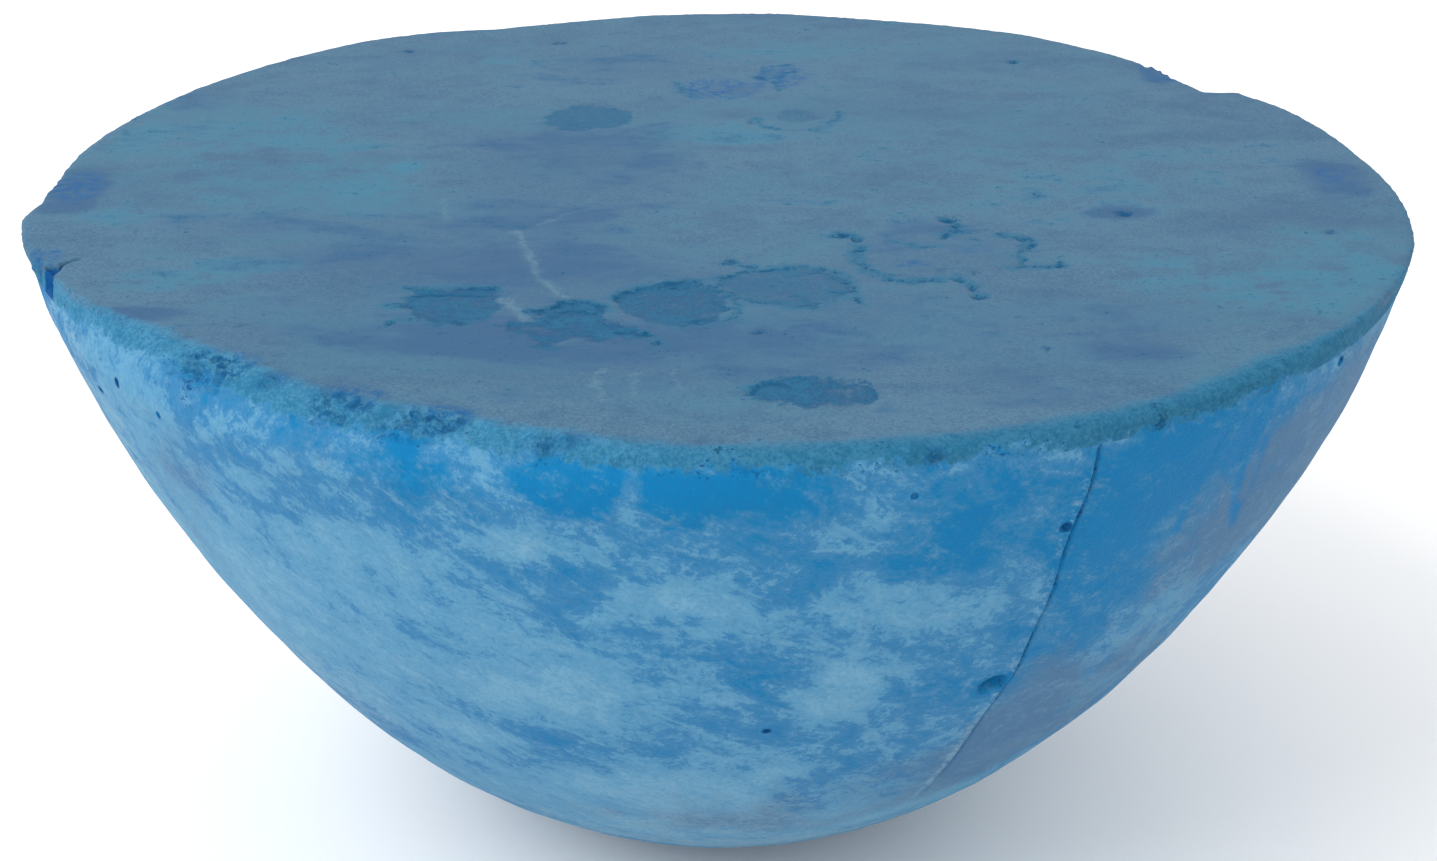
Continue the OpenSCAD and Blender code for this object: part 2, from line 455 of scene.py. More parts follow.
def stone_paint(points):
    """Haze, bloom and dark marks that are partly painted shade, and pale flash and chalk that are partly
    painted light, on the dome and on the seal's edge above it.
    """
    azimuth, r = polar(points[:, 0], points[:, 1])
    z = points[:, 2]
    torn_z = z + 1.5 * grain(points, 5, 4, seed=20)
    torn_azimuth = azimuth + 2.2 * grain(points, 5, 4, seed=21)
    # Paler towards the foot: painted light that stands in for light from the white floor
    haze = 0.48 + 0.30 * smooth(-z, -20, -6) + cloud_sum(torn_azimuth, torn_z, ALL_CLOUDS)
    # Bloom, with its strong patches on the right side as painted shade, and more of it round the sides and
    # back
    bloom_and_shade = cloud_sum(azimuth, z, DOME_BLOOMS_AND_SHADE) + 0.45 * smooth(np.abs(azimuth), 60, 110)
    for wide, strength, places in DOME_RUNS:
        run = near(distance_to(points, wall_path(places)), 2 * wide)
        haze -= 0.8 * strength * run
        bloom_and_shade -= 1.2 * strength * run
    flecked = tint_sum(points, FLECKS) * smooth(z, JOINT_Z - 4, JOINT_Z)
    haze -= 0.25 * flecked
    dark = 0.34 * flecked
    pale = cloud_sum(azimuth, z, DOME_CHALK_AND_FLOOR_LIGHT)
    # Along each seam, the dark line over the groove is painted shadow, and the pale strip on the flash
    # ridge is painted highlight, with real whitish flash added lower down
    for seam in SEAMS:
        across = seam_offset(azimuth, z, seam)
        dark = np.maximum(dark, 0.56 * near(np.abs(across - 0.2), 0.36) * smooth(z, 3, 26))
        pale = np.maximum(pale, (0.40 + 0.3 * bump(z - 21, 6)) * near(np.abs(across + 0.35), 0.9))
    for away, radius, _ in pits_near(points):
        sunk = smooth(-away, -1.4 * radius, -1.1 * radius)
        haze -= 1.5 * sunk
        bloom_and_shade -= 2 * sunk
        pale -= sunk
        # Pits are painted darker, the small ones most: painted shade inside them
        dark = np.maximum(dark * (1 - sunk), (0.70 if radius < 0.7 else 0.30) * sunk)
    outside = r > dome_radius(z) - 3
    return [np.clip(channel * outside, -0.06, 1) for channel in (haze, bloom_and_shade, dark, pale)]


# ---------------------------------------------------------------- the stone

# Cells across the disc that the casting is made from, and the size of a cell that may stay whole
STONE_CELLS = 204
STONE_CELL = 0.74
# Sizes of cell near the rim and the parting lines, on a parting line, and in the smallest pit
DETAIL_CELL = 0.35
SEAM_CELL = 0.18
SMALLEST_CELL = 0.09
# Radii of the nipple's seat and bore, and how far in from the seat the bore is cut
SEAT_R = 6.5
BORE_R = 3.6
BORE_REACH = 15


def stone_wanted(x, y):
    """Size of cell that the dome's details need. The disc is turned so that a row follows the seam."""
    azimuth, s = polar(x, y)
    azimuth = azimuth + SEAMS[0]
    z = np.interp(s, OUTLINE_LENGTH, OUTLINE[:, 1])
    r = np.interp(s, OUTLINE_LENGTH, OUTLINE[:, 0])
    size = np.full(len(x), STONE_CELL)
    size[(z > 44.5) & (np.abs(turn_between(azimuth, 0)) < 100)] = DETAIL_CELL
    for seam in SEAMS:
        across = np.abs(seam_offset(azimuth, z, seam))
        size[across < 1.6] = DETAIL_CELL
        size[across < 0.8] = SEAM_CELL
    for away, radius, _ in pits_near(around(azimuth, r, z)):
        close = away < radius + 0.35
        size[close] = np.minimum(size[close], max(SMALLEST_CELL, radius / 4))
    return size


def stone_mesh():
    """The casting: its outside, then the steps for seal and lid, and the air chamber."""
    length = dome_length(JOINT_Z)
    mesh, x, y = refined_disc(STONE_CELLS, length, stone_wanted, levels=3)
    azimuth, s = polar(x, y)
    azimuth = azimuth + SEAMS[0]
    r = np.interp(s, OUTLINE_LENGTH, OUTLINE[:, 0])
    z = np.interp(s, OUTLINE_LENGTH, OUTLINE[:, 1])
    slope = np.interp(s, OUTLINE_LENGTH, OUTLINE[:, 2])
    relief = dome_relief(around(azimuth, r, z), turn_between(azimuth, 0), z)
    relief *= smooth(s, FOOT_R - 1, FOOT_R + 6) * smooth(length - s, 0.0, 0.5)
    r = r + relief * np.sin(slope) + wall_shift(azimuth, z)
    z = np.maximum(z - relief * np.cos(slope), 0)
    place(mesh, around(azimuth, r, z))
    ledge = [(INNER_RING_R, JOINT_Z), (REBATE_R, JOINT_Z), (REBATE_R, LID_Z)]
    close_with_rings(mesh, ledge + chamber_rings())
    return mesh


def chamber_rings(steps=9):
    """Rings of the air chamber: the dome's outline at a smaller scale, hung from the lid."""
    heights = np.linspace(FACE_Z, 0, steps)
    return [(CHAMBER_SHARE * dome_radius(z), LID_Z - CHAMBER_SHARE * (FACE_Z - z)) for z in heights]


def cylinder(name, radius, start, end):
    """Smooth closed cylinder along the inlet's axis."""
    mesh = bmesh.new()
    turn = Matrix.Translation((0, (start + end) / 2, INLET_Z)) @ Matrix.Rotation(math.pi / 2, 4, "X")
    bmesh.ops.create_cone(mesh, cap_ends=True, segments=96, radius1=radius, radius2=radius,
                          depth=end - start, matrix=turn)
    return finished_object(name, mesh)


def cut(piece, cutter):
    """Takes the cutter's space out of a piece."""
    modifier = piece.modifiers.new("cut", "BOOLEAN")
    modifier.operation = "DIFFERENCE"
    modifier.solver = "EXACT"
    modifier.object = cutter
    evaluated = piece.evaluated_get(bpy.context.evaluated_depsgraph_get())
    data = bpy.data.meshes.new_from_object(evaluated)
    piece.modifiers.clear()
    piece.data = data
    bpy.data.objects.remove(cutter)


def make_stone():
    stone = finished_object("cast_stone", stone_mesh())
    cut(stone, cylinder("seat_cutter", SEAT_R, SEAT_Y, RIM_R + 5))
    cut(stone, cylinder("bore_cutter", BORE_R, SEAT_Y - BORE_REACH, SEAT_Y + 1))
    stone.data.shade_smooth()
    stone.data.set_sharp_from_angle(angle=math.radians(50))
    paint(stone, "stone_paint", stone_paint(points_of(stone)))
    return stone


# ---------------------------------------------------------------- what is on the face

# Outlines of the burst blisters that are filled with blue
BLISTERS = [
    [(-20.3, -23.4), (-18.4, -22.2), (-15.2, -22.3), (-14.2, -24.6), (-14.7, -27.4), (-16.8, -28.5),
     (-19.4, -28.0), (-20.4, -25.8)],
    [(-13.9, -28.8), (-12.0, -27.5), (-10.9, -25.6), (-9.5, -24.8), (-7.9, -25.6), (-7.4, -27.6),
     (-6.0, -29.4), (-4.6, -31.0), (-6.6, -30.9), (-8.0, -32.0), (-9.6, -31.4), (-10.4, -32.9),
     (-11.7, -32.7), (-12.0, -31.0), (-13.5, -30.2)],
    [(-6.9, -24.6), (-6.1, -22.6), (-4.0, -21.5), (-1.4, -21.7), (0.1, -23.6), (0.3, -26.4),
     (-0.9, -28.5), (-3.6, -28.8), (-6.0, -27.4)],
    [(-0.2, -20.4), (2.0, -18.8), (5.0, -18.2), (7.5, -19.0), (8.5, -21.4), (7.7, -23.9), (5.2, -25.5),
     (3.0, -25.0), (0.9, -23.4)],
    [(1.5, -40.1), (3.0, -38.1), (5.6, -37.4), (8.2, -38.1), (9.4, -39.8), (8.6, -41.7), (6.3, -42.4),
     (3.4, -41.7)],
    [(-13.9, 16.8), (-12.6, 19.4), (-10.2, 20.3), (-7.8, 18.8), (-7.0, 16.2), (-8.2, 13.8), (-9.9, 14.2),
     (-10.8, 12.9), (-13.1, 13.7)],
    [(4.2, 17.2), (5.4, 18.7), (7.2, 18.3), (7.9, 16.8), (6.5, 15.4), (4.8, 15.8)],
]
# How strongly each of them is filled
BLISTER_FILL = [0.95, 1.0, 0.9, 0.55, 1.0, 0.75, 0.45]
# Curled and torn edges of the blisters: half width and the points along each
CURLS = [
    (0.18, [(-20.5, -22.3), (-18.6, -21.8), (-16.8, -22.3), (-14.9, -22.4), (-14.3, -23.6)]),
    (0.10, [(-19.8, -23.6), (-17.4, -23.2), (-15.2, -23.5)]),
    (0.12, [(-21.6, -25.7), (-20.8, -25.4), (-20.0, -25.9)]),
    (0.17, [(-21.4, -28.6), (-20.0, -28.0), (-18.0, -28.4), (-16.2, -28.7)]),
    (0.18, [(-12.7, -26.3), (-11.7, -26.7), (-10.6, -25.4), (-9.3, -24.8), (-8.2, -25.3), (-7.5, -26.4)]),
    (0.12, [(-11.0, -27.5), (-9.6, -26.4), (-8.2, -26.8)]),
    (0.15, [(-6.6, -30.0), (-5.1, -30.5), (-4.2, -31.6), (-3.9, -32.3)]),
    (0.17, [(-7.2, -24.3), (-6.2, -22.8), (-4.8, -21.8), (-3.2, -21.4), (-2.0, -21.0), (-0.9, -21.8)]),
    (0.10, [(-6.4, -23.6), (-4.6, -22.3), (-2.6, -22.1)]),
    (0.10, [(-0.9, -21.8), (0.4, -23.2), (1.0, -25.6), (0.5, -27.8), (-1.2, -28.6), (-3.0, -28.9)]),
    (0.07, [(-0.6, -24.0), (0.1, -25.8), (-0.4, -27.5), (-2.0, -28.0)]),
    (0.09, [(-0.4, -20.5), (1.8, -18.8), (5.0, -18.1), (7.6, -19.0), (8.6, -21.4), (7.8, -23.9),
            (5.2, -25.6), (3.0, -25.1), (0.8, -23.5), (-0.4, -20.5)]),
    (0.08, [(4.4, -19.7), (6.4, -19.2), (8.0, -20.8), (8.2, -22.2)]),
    (0.07, [(3.6, -25.0), (4.0, -23.8), (5.4, -23.9), (5.8, -25.0)]),
    (0.14, [(0.5, -17.1), (1.5, -17.8), (2.3, -18.8)]),
    (0.16, [(7.4, -22.8), (8.3, -23.3), (8.9, -24.7)]),
    (0.18, [(1.2, -40.3), (1.9, -39.2), (3.0, -38.7), (3.7, -38.9)]),
    (0.20, [(8.1, -11.8), (9.2, -11.9), (9.6, -13.0)]),
    (0.16, [(9.3, -12.4), (9.4, -14.4), (9.2, -16.2), (9.6, -18.4), (10.8, -20.2)]),
    (0.13, [(10.6, -20.5), (12.6, -20.8), (14.6, -20.4), (15.6, -20.3)]),
    (0.22, [(15.6, -20.3), (16.4, -21.7), (16.9, -23.2), (16.6, -24.2)]),
    (0.19, [(15.7, -8.0), (16.4, -9.0), (16.2, -10.8), (15.2, -12.1)]),
    (0.10, [(11.8, -12.9), (13.1, -13.6), (14.6, -13.8)]),
    (0.17, [(19.2, -11.5), (20.9, -12.5), (21.2, -13.8), (20.4, -15.2), (20.3, -17.0), (20.6, -18.0)]),
    (0.13, [(19.0, -18.0), (20.6, -18.1), (22.7, -17.8)]),
    (0.07, [(9.4, 18.2), (8.4, 14.6), (6.2, 13.2), (3.6, 14.2), (2.8, 16.4)]),
    (0.13, [(3.6, 31.0), (4.4, 29.0), (6.4, 30.2)]),
    (0.13, [(2.8, 28.4), (4.4, 27.0), (4.9, 24.6)]),
    (0.10, [(-3.8, 26.8), (-3.2, 24.6), (-2.4, 22.6)]),
]
# Pale scratches: half width and the points along each
SCRATCHES = [
    (0.32, [(-14.4, -10.8), (-13.7, -13.2), (-12.9, -16.8), (-12.2, -20.0), (-10.3, -23.4)]),
    (0.30, [(-14.2, -24.2), (-13.2, -26.4), (-12.4, -27.9)]),
    (0.13, [(-20.0, -3.8), (-19.8, -6.4), (-19.4, -8.6)]),
    (0.10, [(-8.6, -5.6), (-11.0, -7.0), (-13.8, -10.8)]),
    (0.14, [(-7.4, -36.4), (-7.6, -38.6), (-7.0, -41.0)]),
    (0.10, [(-5.2, -36.8), (-5.4, -40.4)]),
    (0.08, [(-3.1, -36.2), (-2.6, -39.6)]),
    (0.06, [(-9.8, -3.6), (-9.4, -4.2)]),
]
# Soft tints on the face: x, y, half width and half depth, and strength
PURPLE_TINTS = [
    (-11, 1, 8, 9, 0.35), (-18, -14, 12, 8, 0.48), (-14, -25, 15, 8, 0.48), (-7, -35, 12, 5, 0.55),
    (17.5, -37.5, 2.6, 1.6, 0.55), (25.5, -34, 3.0, 2.0, 0.55), (20, -41, 4, 1.5, 0.45),
    (15, -30, 12, 6, 0.38), (4, -24, 8, 6, 0.35), (28, -27, 5, 4, 0.30), (15, -15, 6, 6, 0.45),
    (-47.5, -0.5, 2.4, 3.6, 1.5), (-47, -5, 2.2, 1.6, 0.9), (45.5, 1, 2.4, 4, 0.80),
    (36.5, 30, 1.4, 3.4, 1.1), (-35, -8, 5, 4, 0.20), (-42, 22, 2.6, 3, 0.50), (-8, 33, 6, 5, 0.35),
    (-12, 10, 8, 8, 0.35), (28.2, -6.8, 1.9, 1.2, 1.0), (37.5, 11.5, 0.9, 0.8, 0.8),
    (-38, -26.8, 3.4, 1.1, 1.0), (-20, -31, 14, 3, 0.3), (43, -6, 2, 3, 0.5),
]
TEAL_TINTS = [
    (-34, 6, 7, 11, 0.65), (-25, -3, 3, 5, 0.55), (-32, -18, 4, 1.5, 0.70), (0, 12, 4.5, 3.0, 0.60),
    (5, 37, 6, 3.5, 0.40), (30, -20, 4, 5, 0.55), (-5, -9, 3, 1.6, 0.40), (-43, -7, 2.5, 2.5, 0.55),
    (-36, -21, 4, 1.6, 0.60), (25, 4, 12, 12, 0.30), (41, -15, 4, 7, 0.45), (-20, 34, 2.0, 1.6, 0.55),
    (-45, 12, 2, 5, 0.45), (-23.5, 4, 1.0, 1.4, 0.70), (38, -24, 4, 5, 0.6), (25, 33, 1.0, 1.0, 0.9),
    (-12, 36, 8, 5, 0.25), (44, -19, 2, 3, 0.5), (12, -4, 5, 3, 0.25),
]
# Where the surface is flecked with dark crumbs: x, y, half width and half depth, and strength
FLECKS = [
    (-32, -35, 3.0, 1.6, 1.0), (-33.5, -36.5, 2.0, 1.2, 0.3), (-22.3, -40.6, 1.9, 1.4, 1.0),
    (-17.4, -43.3, 2.6, 1.2, 0.9), (-27, -37.5, 1.4, 0.8, 0.5), (-0.3, 25, 2.8, 2.6, 0.85),
    (5, 28.8, 1.8, 2.8, 0.9), (-46.2, -16.2, 1.2, 1.6, 1.0), (36.6, 30, 1.2, 3.0, 0.8),
    (45, 1.5, 1.8, 2.6, 0.5), (-47, -1, 1.6, 3, 0.9), (-6.3, -49.3, 0.9, 0.9, 0.9),
    (1.3, -49.8, 1.2, 0.7, 0.9), (12.2, -48.2, 0.8, 0.8, 0.8), (17.2, -14.6, 1.4, 0.8, 0.5),
    (12.9, -17.4, 1.0, 0.6, 0.9), (-10, -46.5, 2.5, 0.6, 0.5),
]
# Single dark dots, and the knots at the tips of the torn edges: x, y and radius
DOTS = [
    (8.4, -11.7, 0.42), (9.3, -12.5, 0.50), (9.4, -15.0, 0.26), (11.0, -20.3, 0.24),
    (15.8, -20.5, 0.40), (16.5, -22.2, 0.42), (16.8, -23.7, 0.55), (16.0, -8.3, 0.52),
    (16.4, -9.6, 0.36), (15.3, -12.0, 0.26), (20.9, -12.4, 0.36), (21.1, -13.7, 0.46),
    (20.4, -16.6, 0.28), (20.4, -18.0, 0.36), (22.7, -17.8, 0.34), (16.8, -18.9, 0.24),
    (-21.2, -28.5, 0.36), (-6.9, -24.2, 0.34), (-10.8, -25.5, 0.30), (-4.0, -32.2, 0.34),
    (8.8, -24.5, 0.34), (1.4, -40.0, 0.40), (0.6, -17.1, 0.28), (-14, 39.3, 0.42), (-27, 36.5, 0.34),
    (-36.7, 34.8, 0.36), (-47, 16.7, 0.36), (24.9, 33.1, 0.40), (26.0, -42.0, 0.26),
    (42.3, -11.2, 0.28), (2.2, 15.6, 0.26), (9.4, 17.3, 0.22), (2.1, -30.2, 0.22), (14.6, -18.9, 0.26),
    (20.2, -33.0, 0.18), (-30.5, -29.0, 0.2), (28.6, -7.0, 0.5), (23, -2.6, 0.18),
]
# The notch in the left edge, seen from above: its sharp tip, its body and the crack that runs on from it
NOTCH = [
    (0.12, [(-43.5, -16.5), (-44.2, -17.2), (-44.6, -18.2)]),
    (0.60, [(-44.9, -18.4), (-45.2, -20.2), (-45.0, -22.0)]),
    (0.14, [(-44.5, -22.0), (-43.7, -24.0), (-42.6, -26.2)]),
]


def tint_sum(points, tints):
    """Sum of soft patches on the face."""
    total = np.zeros(len(points))
    for x, y, wide, deep, strength in tints:
        total += strength * patch(0.8 * np.hypot((points[:, 0] - x) / wide, (points[:, 1] - y) / deep))
    return total


def dots_near(flat):
    """For each dark dot, how far every point of the face is from its middle, and its radius."""
    for x, y, radius in DOTS:
        yield np.hypot(flat[:, 0] - x, flat[:, 1] - y), radius


def blister_depths(flat):
    """For each blister, how far each point is inside it, and how strongly it is filled."""
    for outline, fill in zip(BLISTERS, BLISTER_FILL):
        yield depth_inside(flat, curve(outline, closed=True, steps=4)), fill


def line_strength(flat, lines, reach):
    """1 in the middle of the nearest line, 0.5 at its own half width, and 0 at the reach beyond."""
    strength = np.zeros(len(flat))
    for half_width, path in lines:
        away = distance_to(flat, curve(path, steps=4))
        strength = np.maximum(strength, 0.5 + (half_width - away) / (2 * reach))
    return np.clip(strength, 0, 1)


def ragged(points):
    """Places on the face, shifted about a little, so that whatever is drawn there has torn edges."""
    shift = np.stack([grain(points, 1.2, 3, seed=12), grain(points, 1.2, 3, seed=13)], axis=1)
    return points[:, :2] + 0.45 * shift


def unbroken(points):
    """How much is left of a torn edge, from 0 to 1, where bits of it have come away."""
    return np.clip(0.65 + 1.3 * grain(points, 1.4, 3, seed=14), 0, 1)


def face_relief(points):
    """Height of the relief on the grey face: trowel waves, sunk blisters and their curled edges."""
    flat = ragged(points)
    waves = np.stack([points[:, 0] / 2.2, points[:, 1], points[:, 2]], axis=1)
    relief = 0.06 * grain(waves, 7, 3, seed=6) + 0.02 * grain(points, 1.2, 3, seed=7)
    for depth, fill in blister_depths(flat):
        relief -= 0.07 * fill * smooth(depth, -0.25, 0.35)
        relief += 0.03 * fill * bump(depth + 0.30, 0.30)
    relief -= 0.07 * unbroken(points) * smooth(line_strength(flat, CURLS, 0.4), 0.35, 0.65)
    relief -= 0.03 * smooth(line_strength(flat, SCRATCHES, 0.4), 0.4, 0.7)
    for away, radius in dots_near(flat):
        relief -= 0.5 * radius * bump(away, radius)
    return relief


def blister_paint(points):
    """How far inside a blister, how strongly it is filled, the stain round its edges, and the notch."""
    flat = ragged(points)
    inside = np.full(len(points), -9.0)
    strength = np.zeros(len(points))
    for depth, fill in blister_depths(flat):
        strength = np.where(depth > inside, fill, strength)
        inside = np.maximum(inside, depth)
    stain = smooth(line_strength(flat, CURLS, 1.2), 0.0, 0.55)
    return [np.clip(0.5 + inside / 3, 0, 1), strength, stain, line_strength(points[:, :2], NOTCH, 0.4)]


def face_paint(points):
    """Curled edges and dots, the worn edge, the end of the turquoise band on it, and scratches."""
    azimuth, r = polar(points[:, 0], points[:, 1])
    flat = ragged(points)
    line = line_strength(flat, CURLS, 0.5) * (0.55 + 0.45 * unbroken(points))
    for away, radius in dots_near(flat):
        line = np.maximum(line, np.clip(0.5 + (radius - away), 0, 1))
    beyond = r - grey_radius(azimuth) - by_azimuth(GREY_LAP, azimuth)
    beyond += np.maximum(FACE_Z - 0.25 - points[:, 2], 0)
    edge = np.clip(0.5 + beyond / 5, 0, 1)
    skirt = np.clip(0.5 + (beyond - by_azimuth(BAND_WIDTH, azimuth)) / 5, 0, 1)
    return [line, edge, skirt, line_strength(flat, SCRATCHES, 0.8)]


def tint_paint(points):
    """Soft tints and flecked places on the face, and how blue the band is."""
    azimuth, _ = polar(points[:, 0], points[:, 1])
    tints = [tint_sum(points, table) for table in (TEAL_TINTS, PURPLE_TINTS, FLECKS)]
    return [np.clip(tint, 0, 1) for tint in tints] + [by_azimuth(BAND_BLUE, azimuth)]


# ---------------------------------------------------------------- the seal

# Cells across the disc that the seal is made from, its radius, and the size of a cell that stays whole
SEAL_CELLS = 140
SEAL_DISC_R = 52.0
SEAL_CELL = 2 * SEAL_DISC_R / SEAL_CELLS
# Sizes of cell at an edge, and on a fine line
EDGE_CELL = 0.40
LINE_CELL = 0.20
# The disc is the flat face as it stands up to this radius. Its rest is stretched over the outer part of
# the face, the worn edge and the side
FLAT_R = 44.0


def seal_wanted(x, y):
    """Size of cell that the face's details need."""
    flat = np.stack([x, y], axis=1)
    azimuth, t = polar(x, y)
    size = np.full(len(x), SEAL_CELL)
    size[t > FLAT_R + 0.5] = EDGE_CELL
    size[(t > FLAT_R + 0.8) & (np.abs(azimuth + 22) < 45)] = LINE_CELL
    for outline in BLISTERS:
        close = np.abs(depth_inside(flat, curve(outline, closed=True, steps=3))) < 1.2
        size[close] = np.minimum(size[close], EDGE_CELL)
    for lines, reach in ((CURLS, 0.55), (SCRATCHES, 0.5), (NOTCH, 0.8)):
        close = line_strength(flat, lines, reach) > 0
        size[close] = np.minimum(size[close], LINE_CELL)
    for away, radius in dots_near(flat):
        close = away < 2.2 * radius + 0.2
        size[close] = np.minimum(size[close], LINE_CELL)
    return size


def seal_mesh():
    """The trowelled skin: its flat face, its worn edge and its side, closed underneath."""
    mesh, x, y = refined_disc(SEAL_CELLS, SEAL_DISC_R, seal_wanted, levels=2)
    azimuth, t = polar(x, y)
    side_r = dome_radius(JOINT_Z) + wall_shift(azimuth, JOINT_Z)
    dip = 0.1
    lean = side_r - dome_radius(JOINT_Z - dip) - wall_shift(azimuth, JOINT_Z - dip)
    lean = lean / dip
    corner_r = side_r + lean * (FACE_Z - JOINT_Z)
    inner_r = np.minimum(grey_radius(azimuth), corner_r - 0.3)
    drop = by_azimuth(EDGE_DROP, azimuth)
    flat_run = inner_r - FLAT_R
    edge_run = 0.9 * (corner_r - inner_r + np.hypot(drop, lean * drop))
    side_run = FACE_Z - JOINT_Z - drop
    gone = np.clip((t - FLAT_R) / (SEAL_DISC_R - FLAT_R), 0, 1) * (flat_run + edge_run + side_run)

    over = np.clip((gone - flat_run) / edge_run, 0, 1)
    down = np.clip(gone - flat_run - edge_run, 0, None)
    inward = over * over * lean * drop + down * lean
    r = np.minimum(t, FLAT_R) + np.minimum(gone, flat_run) + (corner_r - inner_r) * (2 * over - over * over)
    r -= inward
    z = FACE_Z - drop * over * over - down
    turn = np.arctan2(drop * over, (corner_r - inner_r) * (1 - over) - lean * drop * over)
    points = around(azimuth, r, z)

    relief = face_relief(points) * smooth(-over, -0.5, 0)
    worn = smooth(gone - flat_run, -0.6, 0.8) * smooth(side_run + edge_run + flat_run - gone, 0, 0.4)
    coarse = smooth(-np.abs(azimuth + 24), -42, -28)
    relief += worn * (0.05 + 0.20 * coarse) * grain(points, 1.5, 4, seed=8)
    relief += worn * 0.05 * grain(points, 0.5, 2, seed=10)
    relief -= worn * 0.45 * np.clip(tint_sum(points, FLECKS), 0, 1) * (0.5 + grain(points, 0.9, 3, seed=11))
    notched = smooth(line_strength(points[:, :2], NOTCH, 0.35), 0.3, 0.8)
    relief -= 0.55 * notched * smooth(z, JOINT_Z, JOINT_Z + 0.6)
    r = r + relief * np.sin(turn)
    z = z + relief * np.cos(turn)
    place(mesh, around(azimuth, r, z))
    close_with_rings(mesh, [(ring_r, JOINT_Z) for ring_r in (INNER_RING_R, 20, 1)])
    return mesh


def make_seal():
    seal = finished_object("trowelled_face", seal_mesh())
    points = points_of(seal)
    paint(seal, "stone_paint", stone_paint(points))
    paint(seal, "face_paint", face_paint(points))
    paint(seal, "tint_paint", tint_paint(points))
    paint(seal, "blister_paint", blister_paint(points))
    return seal


# ---------------------------------------------------------------- nipple and its bond

def turned(name, profile, segments, relief, sharp=50):
    """Closed piece turned round the inlet's axis from a closed profile of (radius, distance out)."""
    mesh = bmesh.new()
    rows = []
    for k in range(segments):
        angle = 2 * math.pi * k / segments
        row = []
        for r, out in profile:
            grown = r + relief(angle, r, out)
            row.append(mesh.verts.new((grown * math.cos(angle), SEAT_Y + out,
                                       INLET_Z + grown * math.sin(angle))))
        rows.append(row)
    for row, following in zip(rows, rows[1:] + rows[:1]):
        for k in range(len(profile)):
            after = (k + 1) % len(profile)
            mesh.faces.new((row[k], row[after], following[after], following[k]))
    return finished_object(name, mesh, sharp)


def rounded(corners, radius=0.18, steps=3):
    """Closed profile with its corners rounded, except those whose radius is given as 0."""
    made = []
    count = len(corners)
    for k, corner in enumerate(corners):
        here = np.array(corner[:2], float)
        size = corner[2] if len(corner) > 2 else radius
        before = np.array(corners[k - 1][:2], float) - here
        after = np.array(corners[(k + 1) % count][:2], float) - here
        size = min(size, 0.45 * np.linalg.norm(before), 0.45 * np.linalg.norm(after))
        if size == 0:
            made.append(here)
            continue
        start = here + before / np.linalg.norm(before) * size
        end = here + after / np.linalg.norm(after) * size
        for t in np.linspace(0, 1, steps + 1):
            made.append((1 - t) ** 2 * start + 2 * t * (1 - t) * here + t**2 * end)
    return made


# Sizes of the nipple, with distances along its axis measured outwards from its seat
SHANK_IN = 12
BOND_IN = 8
AIR_BORE_R = 1.25
SHANK_R = 3.0
FLANGE_R = 5.5
FLANGE_TOP = 2.4
STEM_R = 2.1
TIP_R = 2.0
BARB_R = 2.6
BARB_START = 5.2
BARB_PITCH = 3.4
BARB_LAND = 0.8
BARB_TAPER = 2.0
BARBS = 3


def nipple_profile():
    """Half section of the nipple, from its air bore round the shank, flange and barbs."""
    corners = [(AIR_BORE_R, -SHANK_IN), (SHANK_R, -SHANK_IN), (SHANK_R, BED_T, 0.05),
               (FLANGE_R, BED_T, 0.3), (FLANGE_R, FLANGE_TOP, 0.45), (STEM_R, FLANGE_TOP, 0.6)]
    for k in range(BARBS):
        start = BARB_START + k * BARB_PITCH
        corners.append((STEM_R, start, 0.12))
        corners.append((BARB_R, start, 0.12))
        corners.append((BARB_R, start + BARB_LAND, 0.25))
        corners.append((STEM_R, start + BARB_LAND + BARB_TAPER, 0.12))
    corners[-1] = (TIP_R, BARB_START + (BARBS - 1) * BARB_PITCH + BARB_LAND + BARB_TAPER, 0.3)
    corners.append((AIR_BORE_R, corners[-1][1], 0.25))
    return rounded(corners)


def mould_line(angle, r, out):
    """The moulded nipple's fine parting ridges, one on each side."""
    if r < AIR_BORE_R + 0.3 or out < BED_T:
        return 0
    return 0.07 * math.exp(-(math.cos(angle) / 0.035) ** 2)


def make_nipple():
    return turned("hose_nipple", nipple_profile(), 144, mould_line, sharp=38)


def squeezed_out(angle, r, out):
    """Lumps of the resin that was pressed out round the flange."""
    if out < 0 or r < SHANK_R + 0.3:
        return 0
    lump = noise.fractal(Vector((2.2 * math.cos(angle), 2.2 * math.sin(angle), out)), 1.0, 2.0, 3)
    return 0.22 * lump * min(1, (r - SHANK_R) / 3)


def make_nipple_bond():
    """Resin sleeve round the shank, with a bead that was squeezed out round the flange."""
    profile = rounded([
        (SHANK_R, -BOND_IN), (BORE_R, -BOND_IN), (BORE_R, 0, 0), (6.2, 0.02, 0), (6.25, 0.5, 0.3),
        (6.0, 1.1, 0.3), (5.62, 1.3, 0.15), (FLANGE_R + 0.02, 1.0, 0.1), (FLANGE_R + 0.02, 0.9, 0),
        (FLANGE_R - 0.2, BED_T, 0), (SHANK_R, BED_T, 0),
    ])
    return turned("nipple_resin", profile, 120, squeezed_out, sharp=60)


# ---------------------------------------------------------------- materials

def srgb(red, green, blue):
    """Linear colour of an 8-bit one."""
    channels = [c / 255 for c in (red, green, blue)]
    return [c / 12.92 if c <= 0.04045 else ((c + 0.055) / 1.055) ** 2.4 for c in channels] + [1]


def pigment(red, green, blue, light=1.30, veil=0.009):
    """Colour of a surface that looks like an 8-bit colour under this studio's light and its gloss."""
    return [max(0.0015, (channel - veil) / light) for channel in srgb(red, green, blue)[:3]] + [1]


